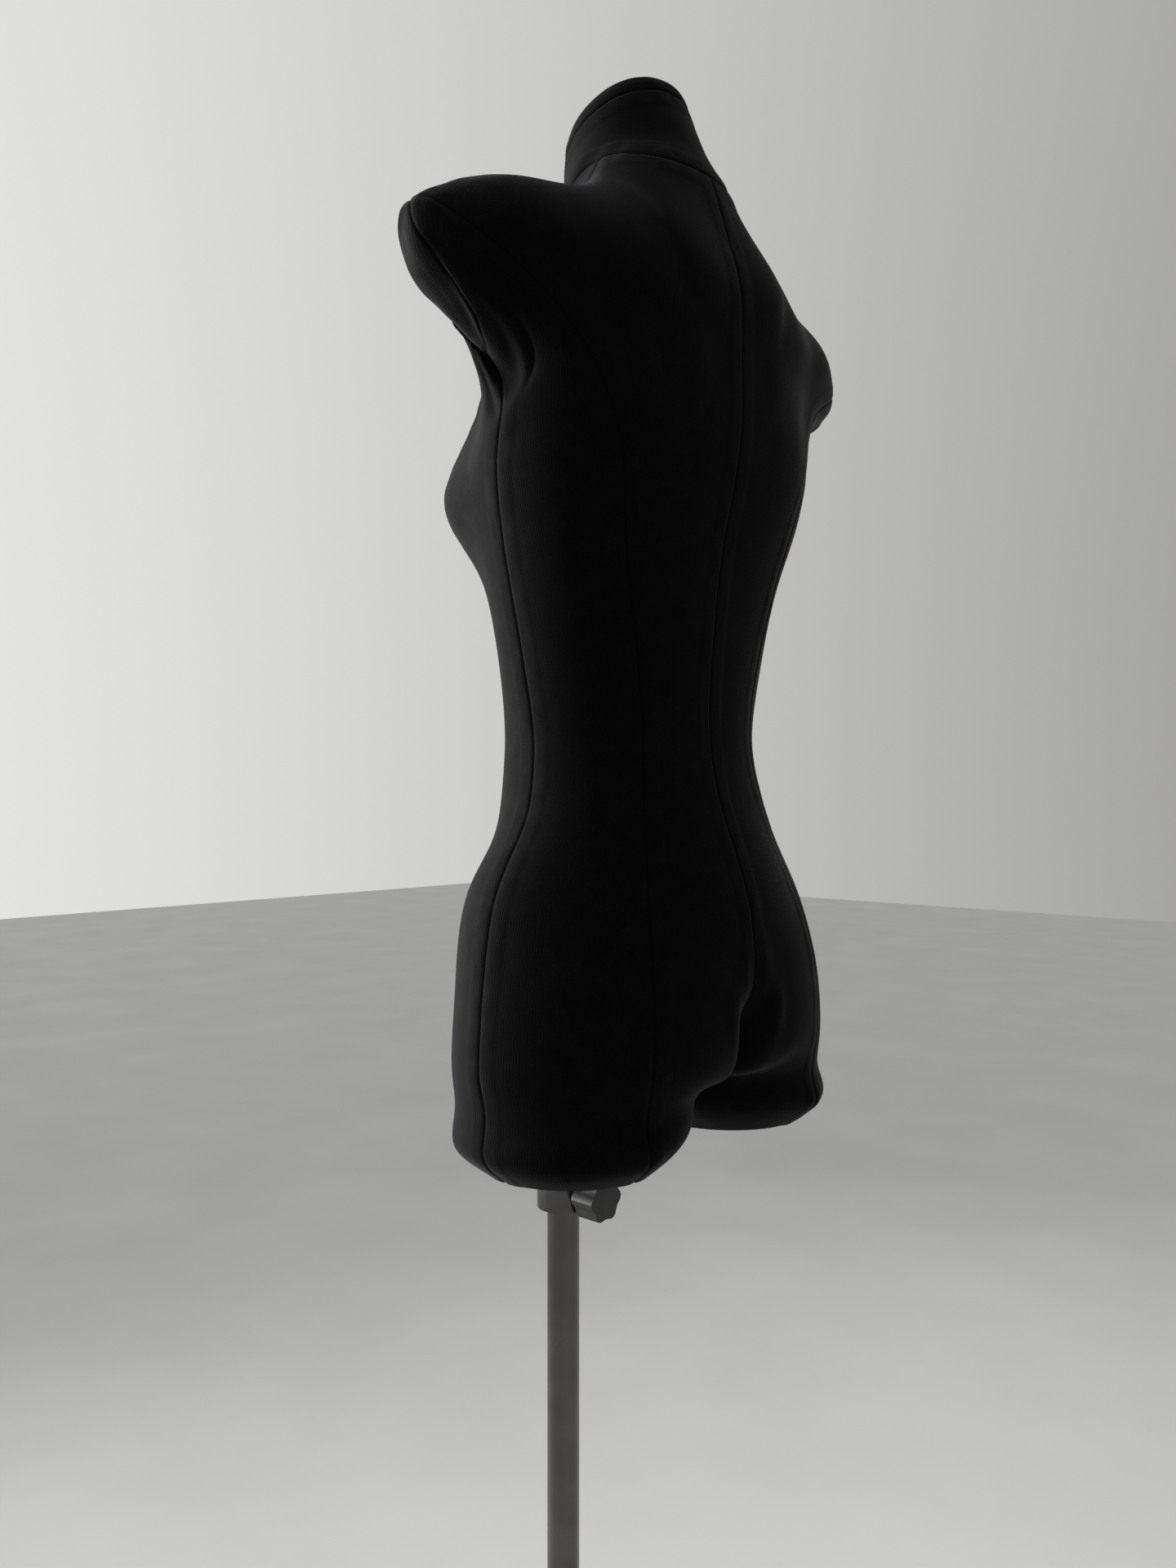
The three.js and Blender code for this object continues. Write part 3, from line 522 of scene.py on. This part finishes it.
def cloth_coords(p):
    turn = np.arctan2(p[:, 0] - FORM_X, p[:, 1])
    radius = np.hypot(p[:, 0] - FORM_X, p[:, 1])
    above = p[:, 2] > TOP_Z - NECK_SPAN
    return np.stack([turn * MEAN_RADIUS, p[:, 2] - radius * above], axis=1)


for index, name in enumerate(panels):
    own = [face for face, panel in zip(faces, owner) if panel == index]
    used = sorted({v for face in own for v in face})
    renumber = {v: i for i, v in enumerate(used)}
    count = len(used)
    rings = [tuple(renumber[v] for v in face) for face in own]
    rims = {}
    for ring in rings:
        for i, v in enumerate(ring):
            rims[(ring[i - 1], v)] = True
    walls = [(b, a, a + count, b + count) for a, b in rims if (b, a) not in rims]
    rings += [tuple(v + count for v in reversed(ring)) for ring in rings] + walls
    corners = np.concatenate([points[used], inner[used]])
    shade = np.concatenate([seam_crease_shade[used]] * 2)
    piece = cloth_piece("jersey_" + name, corners, rings, shade, cloth_coords(corners))
    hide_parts(name)


# ---------------------------------------------------------------------------
# The thigh covers: two flat discs of the same jersey that close the hem at the
# end of each thigh, sewn on all round.  The one over the socket has a hole
# for the pole.
# ---------------------------------------------------------------------------
after = {}
for a, b in hems:
    after.setdefault(a, []).append(b)
    after.setdefault(b, []).append(a)
loops = []
left = set(after)
while left:
    first = min(left)
    loop = [first]
    left.discard(first)
    while True:
        onward = [v for v in after[loop[-1]] if v in left]
        if not onward:
            break
        loop.append(onward[0])
        left.discard(onward[0])
    loops.append(loop)
loops = [loop for loop in loops if points[loop][:, 2].mean() < HEM_Z + HEM_CLEAR]
HOLE_RADIUS = 0.0147
DISC_STEPS = ((0.000, 0.0), (0.006, -0.0012), (0.03, -0.0016))
DISC_STEPS += ((0.2, -0.0014), (0.5, -0.0012), (1.0, -0.0010))
DISC_LIFT = 0.0012
DISC_TOP = 0.0022
DISC_RIM_DROP = -0.0005
DISC_RIM_IN = 0.004
PINCH = 0.0006
SIDE_TOLERANCE = 0.03
POLE_TOLERANCE = 0.06
# Painted shade in the crease where each thigh disc is sewn to the hem: its outer two rings are
# darkened.
STITCHED_SHADE = 0.7
for loop in loops:
    rim = points[loop]
    heart_of_disc = rim.mean(0)
    side = "left" if abs(heart_of_disc[0] - middle("thigh_cover_left", 0)) < SIDE_TOLERANCE else "right"
    holds_pole = abs(heart_of_disc[0] - POLE_X) < POLE_TOLERANCE
    eye = np.array([POLE_X, 0, 0]) if holds_pole else heart_of_disc
    spoke = rim - eye
    spoke[:, 2] = 0
    spoke /= np.linalg.norm(spoke, axis=1)[:, None]
    end = eye + spoke * (HOLE_RADIUS if holds_pole else PINCH)
    flat_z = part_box("thigh_cover_" + side)[0][2]
    shells = []
    for share, drop in DISC_STEPS:
        ring = rim + (end - rim) * share
        ring[:, 2] = flat_z + DISC_LIFT + drop
        shells.append(ring)
    for share, drop in reversed(DISC_STEPS):
        ring = rim + (end - rim) * max(share, DISC_RIM_IN)
        ring[:, 2] = flat_z + DISC_TOP + (0.0 if share else DISC_RIM_DROP)
        shells.append(ring)
    corners = np.concatenate(shells)
    width = len(loop)
    around = []
    layers = len(shells)
    for k in range(layers):
        for i in range(width):
            j = (i + 1) % width
            n = (k + 1) % layers
            around.append((k * width + i, k * width + j, n * width + j, n * width + i))
    shade = np.zeros(len(corners))
    # painted shade on the sewn rim
    shade[: 2 * width] = STITCHED_SHADE
    disc = cloth_piece("jersey_thigh_" + side, corners, around, shade, corners[:, :2].copy())
    fixer = bmesh.new()
    fixer.from_mesh(disc.data)
    bmesh.ops.recalc_face_normals(fixer, faces=fixer.faces)
    fixer.to_mesh(disc.data)
    fixer.free()
    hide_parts("thigh_cover_" + side)


# ---------------------------------------------------------------------------
# The carcass inside: two moulded halves glued together, plywood boards in the
# neck, arm and thigh openings, and a steel socket screwed to one thigh board.
# The shell and the smaller boards are eased in under the drawn-in cloth.
# ---------------------------------------------------------------------------
SHARP = math.radians(35)
SHELL_TOP_DEPTH = 0.0029
SHELL_UNDER_DEPTH = 0.0058
SHELL_MIDDLE_DEPTH = 0.0048
LONG_EDGE = 0.006
EDGE_CUTS = 3
POKE_ROUNDS = 8
POKE_CLEAR = 0.0021
POKE_STEP = 0.0008


def finish_made_part(name, recipe):
    piece = nodes[name]
    piece.data.materials.clear()
    piece.data.materials.append(recipe.mat)
    piece.data.polygons.foreach_set("use_smooth", [True] * len(piece.data.polygons))
    merge = piece.modifiers.new("merge", "WELD")
    merge.merge_threshold = SAME_POINT
    split = piece.modifiers.new("edges", "EDGE_SPLIT")
    split.split_angle = SHARP


pulp = Recipe("moulded_shell", (0.48, 0.39, 0.27), 0.8)
pulp.color(pulp.ramp(pulp.noise(38, 6), (0.3, (0.40, 0.32, 0.21)), (0.7, (0.55, 0.46, 0.33))))
pulp.rough(pulp.noise(120), 0.7, 0.92)
pulp.bump(pulp.noise(160, 4), 0.0006, 0.6)
cloth_face = BVHTree.FromPolygons(points.tolist(), faces)


def set_under_cloth(name, recipe):
    """The made part, eased in by a hair where the sewn cloth is drawn in over it."""
    wall = bmesh.new()
    wall.from_mesh(nodes[name].data)
    bmesh.ops.remove_doubles(wall, verts=wall.verts, dist=SAME_POINT)
    long_edges = [e for e in wall.edges if e.calc_length() > LONG_EDGE]
    bmesh.ops.subdivide_edges(wall, edges=long_edges, cuts=EDGE_CUTS, use_grid_fill=True)
    bmesh.ops.triangulate(wall, faces=wall.faces)
    for v in list(wall.verts) * 2:
        touch, normal, _, _ = cloth_face.find_nearest(v.co)
        depth = (touch - v.co).dot(normal)
        least = SHELL_UNDER_DEPTH if depth > SHELL_MIDDLE_DEPTH else SHELL_TOP_DEPTH
        if depth < least:
            v.co -= normal * (least - depth)
    for _ in range(POKE_ROUNDS):
        proud = set()
        for face in wall.faces:
            centre = face.calc_center_median()
            touch, normal, _, _ = cloth_face.find_nearest(centre)
            if (touch - centre).dot(normal) < POKE_CLEAR:
                proud.update(face.verts)
        for v in proud:
            normal = cloth_face.find_nearest(v.co)[1]
            v.co -= normal * POKE_STEP
    mesh = bpy.data.meshes.new(name)
    wall.to_mesh(mesh)
    wall.free()
    mesh.polygons.foreach_set("use_smooth", [True] * len(mesh.polygons))
    mesh.set_sharp_from_angle(angle=SHARP)
    mesh.materials.append(recipe.mat)
    piece = bpy.data.objects.new("inner_" + name, mesh)
    bpy.context.collection.objects.link(piece)
    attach(piece, "form")
    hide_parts(name)


for name in ("torso_shell_back", "torso_shell_front"):
    set_under_cloth(name, pulp)

plywood = Recipe("plywood", (0.55, 0.36, 0.16), 0.65)
grain = plywood.waves(18, "Y", plywood.stretched((1, 1, 6)), 6.0)
plywood.color(plywood.ramp(grain, (0.2, (0.46, 0.29, 0.13)), (0.8, (0.62, 0.43, 0.22))))
plywood.rough(plywood.noise(70), 0.55, 0.75)
plywood.bump(grain, 0.0002, 0.5)
for name in ("neck_cap_board", "arm_cap_board_left", "arm_cap_board_right"):
    set_under_cloth(name, plywood)
for name in ("thigh_board_left", "thigh_board_right"):
    finish_made_part(name, plywood)


# ---------------------------------------------------------------------------
# The stand: a round base plate on four rubber feet, a boss with one screw, and
# two polished tubes that slide in each other under a clamp collar with a
# black knob.  A second knob holds the form's socket on the mast.
# ---------------------------------------------------------------------------
DULLED = 0.82


def metal(name, color, rough_low, rough_high, streak):
    recipe = Recipe(name, color, rough_low, Metallic=1.0)
    lines = recipe.noise(1.0, 2, recipe.stretched(streak))
    spots = recipe.noise(46, 3)
    recipe.rough(recipe.mix(0.5, lines, spots), rough_low, rough_high)
    dull = tuple(c * DULLED for c in color)
    recipe.color(recipe.ramp(spots, (0.3, dull), (0.65, color)))
    recipe.bump(lines, 0.00004, 0.35)
    return recipe


# Painted reflection: the polished steel gets a dark base colour that stands in for the dark room it
# reflects.
stainless = metal("stainless_painted_dark_reflection", (0.13, 0.126, 0.122), 0.14, 0.36, (900, 900, 14))
plate_steel = metal("brushed_plate", (0.60, 0.60, 0.60), 0.22, 0.42, (14, 900, 60))
zinc = metal("zinc_plate", (0.42, 0.44, 0.46), 0.28, 0.5, (140, 140, 140))
nylon = Recipe("natural_nylon", (0.78, 0.77, 0.72), 0.45)
nylon.color(nylon.ramp(nylon.noise(80), (0.3, (0.70, 0.69, 0.63)), (0.7, (0.80, 0.79, 0.74))))
nylon.bump(nylon.noise(300), 0.0002, 0.3)
knob_black = Recipe("black_knob", (0.012, 0.012, 0.012), 0.4)
knob_black.rough(knob_black.noise(220, 3), 0.34, 0.55)
knob_tone = ((0.3, (0.009, 0.009, 0.009)), (0.7, (0.016, 0.016, 0.016)))
knob_black.color(knob_black.ramp(knob_black.noise(90), *knob_tone))
knob_black.bump(knob_black.noise(700, 2), 0.0002, 0.5)
rubber = Recipe("black_rubber", (0.010, 0.010, 0.010), 0.8)
rubber.rough(rubber.noise(160, 3), 0.7, 0.9)
rubber.bump(rubber.noise(500, 2), 0.0002, 0.5)

finish_made_part("base_plate", plate_steel)
for name in ("base_boss", "lower_tube", "height_collar", "upper_tube", "thigh_socket"):
    finish_made_part(name, stainless)
screws = ["base_screw", "height_clamp_screw", "socket_clamp_screw"]
screws += ["socket_screw_%d" % n for n in (1, 2, 3, 4)]
for name in screws:
    finish_made_part(name, zinc)
for name in ("height_clamp_pad", "socket_clamp_pad", "pole_bottom_glide"):
    finish_made_part(name, nylon)
for name in ("height_clamp_knob", "socket_clamp_knob", "pole_top_plug"):
    finish_made_part(name, knob_black)
for n in (1, 2, 3, 4):
    finish_made_part("foot_pad_%d" % n, rubber)
